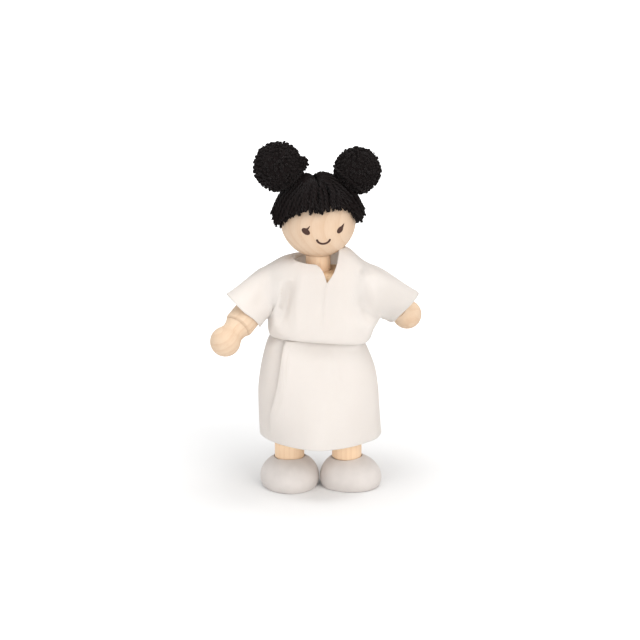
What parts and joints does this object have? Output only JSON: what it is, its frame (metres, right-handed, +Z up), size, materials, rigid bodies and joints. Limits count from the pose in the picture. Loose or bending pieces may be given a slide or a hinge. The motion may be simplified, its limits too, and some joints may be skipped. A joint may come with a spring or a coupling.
{
  "type": "dollhouse figure",
  "caption": "Small jointed wooden dollhouse figure with a ball head, yarn hair in two buns, a white cotton blouse and skirt, and large painted feet.",
  "frame": {"origin": "centre of the bounding box's base, on the floor between the feet", "axes": "+Z up through the head; the torso's front faces -Y; +X to the viewer's right from the front"},
  "size_m": [0.0791, 0.049, 0.1331],
  "materials": {
    "wood": "sanded, clear oiled",
    "pale_wood": "sanded, clear oiled",
    "painted_wood": "matte warm white paint",
    "yarn": "soft matte yarn",
    "cotton": "plain woven cotton",
    "elastic": "braided elastic cord"
  },
  "bodies": {
    "torso": {"torso_block": "wood", "neck_dowel": "pale_wood", "arm_elastic": "elastic", "leg_elastic": "elastic", "waistband": "cotton", "blouse": "cotton", "skirt": "cotton"},
    "head": {"head_ball": "pale_wood", "hair_left": "yarn", "hair_right": "yarn", "hair_fringe": "yarn", "bun_left": "yarn", "bun_right": "yarn", "bun_tie_left": "yarn", "bun_tie_right": "yarn"},
    "shoulder_left": {"shoulder_elastic_left": "elastic", "sleeve_left": "cotton"},
    "upper_arm_left": {"upper_arm_left": "pale_wood", "upper_arm_elastic_left": "elastic"},
    "forearm_left": {"forearm_left": "pale_wood", "forearm_elastic_left": "elastic"},
    "hand_left": {"hand_left": "pale_wood", "hand_elastic_left": "elastic"},
    "hip_left": {"hip_elastic_left": "elastic"},
    "thigh_left": {"thigh_left": "wood", "thigh_elastic_left": "elastic"},
    "shin_left": {"shin_left": "wood", "shin_elastic_left": "elastic"},
    "foot_left": {"foot_left": "painted_wood", "foot_elastic_left": "elastic"},
    "shoulder_right": {"shoulder_elastic_right": "elastic", "sleeve_right": "cotton"},
    "upper_arm_right": {"upper_arm_right": "pale_wood", "upper_arm_elastic_right": "elastic"},
    "forearm_right": {"forearm_right": "pale_wood", "forearm_elastic_right": "elastic"},
    "hand_right": {"hand_right": "pale_wood", "hand_elastic_right": "elastic"},
    "hip_right": {"hip_elastic_right": "elastic"},
    "thigh_right": {"thigh_right": "wood", "thigh_elastic_right": "elastic"},
    "shin_right": {"shin_right": "wood", "shin_elastic_right": "elastic"},
    "foot_right": {"foot_right": "painted_wood", "foot_elastic_right": "elastic"}
  },
  "joints": [
    {"name": "neck_turn", "type": "hinge", "parent": "torso", "child": "head", "pos_m": [0, 0, 0.09], "axis": [0, 0, 1], "continuous": true},
    {"name": "shoulder_swing_left", "type": "hinge", "parent": "torso", "child": "shoulder_left", "pos_m": [-0.0166, 0, 0.079], "axis": [-1, 0, 0], "range_deg": [-108.5, 46.5], "deforming": ["sleeve_left", "blouse"]},
    {"name": "shoulder_raise_left", "type": "hinge", "parent": "shoulder_left", "child": "upper_arm_left", "pos_m": [-0.0166, 0, 0.079], "axis": [0, 0.6626, -0.749], "range_deg": [-15, 60], "deforming": ["sleeve_left"]},
    {"name": "elbow_left", "type": "hinge", "parent": "upper_arm_left", "child": "forearm_left", "pos_m": [-0.02309, -0.0072, 0.07263], "axis": [0, 0.6626, -0.749], "range_deg": [0, 35], "deforming": ["sleeve_left"]},
    {"name": "wrist_left", "type": "hinge", "parent": "forearm_left", "child": "hand_left", "pos_m": [-0.02672, -0.01124, 0.06906], "axis": [0, 0.6626, -0.749], "range_deg": [-20, 20]},
    {"name": "hip_swing_left", "type": "hinge", "parent": "torso", "child": "hip_left", "pos_m": [-0.0109, 0, 0.046], "axis": [-1, 0, 0], "range_deg": [-25, 25], "deforming": ["skirt"]},
    {"name": "hip_spread_left", "type": "hinge", "parent": "hip_left", "child": "thigh_left", "pos_m": [-0.0109, 0, 0.046], "axis": [0, 1, 0], "range_deg": [0, 10], "deforming": ["skirt"]},
    {"name": "knee_left", "type": "hinge", "parent": "thigh_left", "child": "shin_left", "pos_m": [-0.0109, 0, 0.03], "axis": [1, 0, 0], "range_deg": [0, 45], "deforming": ["skirt"]},
    {"name": "ankle_turn_left", "type": "hinge", "parent": "shin_left", "child": "foot_left", "pos_m": [-0.0109, 0, 0.0104], "axis": [0, 0, -1], "range_deg": [0, 75]},
    {"name": "shoulder_swing_right", "type": "hinge", "parent": "torso", "child": "shoulder_right", "pos_m": [0.0166, 0, 0.079], "axis": [-1, 0, 0], "range_deg": [-12.9, 142.1], "deforming": ["sleeve_right", "blouse"]},
    {"name": "shoulder_raise_right", "type": "hinge", "parent": "shoulder_right", "child": "upper_arm_right", "pos_m": [0.0166, 0, 0.079], "axis": [0, -0.6807, -0.7325], "range_deg": [-15, 60], "deforming": ["sleeve_right"]},
    {"name": "elbow_right", "type": "hinge", "parent": "upper_arm_right", "child": "forearm_right", "pos_m": [0.0231, 0.00704, 0.07246], "axis": [0, -0.6807, -0.7325], "range_deg": [0, 35], "deforming": ["sleeve_right"]},
    {"name": "wrist_right", "type": "hinge", "parent": "forearm_right", "child": "hand_right", "pos_m": [0.02675, 0.01098, 0.0688], "axis": [0, -0.6807, -0.7325], "range_deg": [-20, 20]},
    {"name": "hip_swing_right", "type": "hinge", "parent": "torso", "child": "hip_right", "pos_m": [0.0109, 0, 0.046], "axis": [-1, 0, 0], "range_deg": [-25, 25], "deforming": ["skirt"]},
    {"name": "hip_spread_right", "type": "hinge", "parent": "hip_right", "child": "thigh_right", "pos_m": [0.0109, 0, 0.046], "axis": [0, -1, 0], "range_deg": [0, 10], "deforming": ["skirt"]},
    {"name": "knee_right", "type": "hinge", "parent": "thigh_right", "child": "shin_right", "pos_m": [0.0109, 0, 0.03], "axis": [1, 0, 0], "range_deg": [0, 45], "deforming": ["skirt"]},
    {"name": "ankle_turn_right", "type": "hinge", "parent": "shin_right", "child": "foot_right", "pos_m": [0.0109, 0, 0.0104], "axis": [0, 0, 1], "range_deg": [-15, 35]}
  ]
}
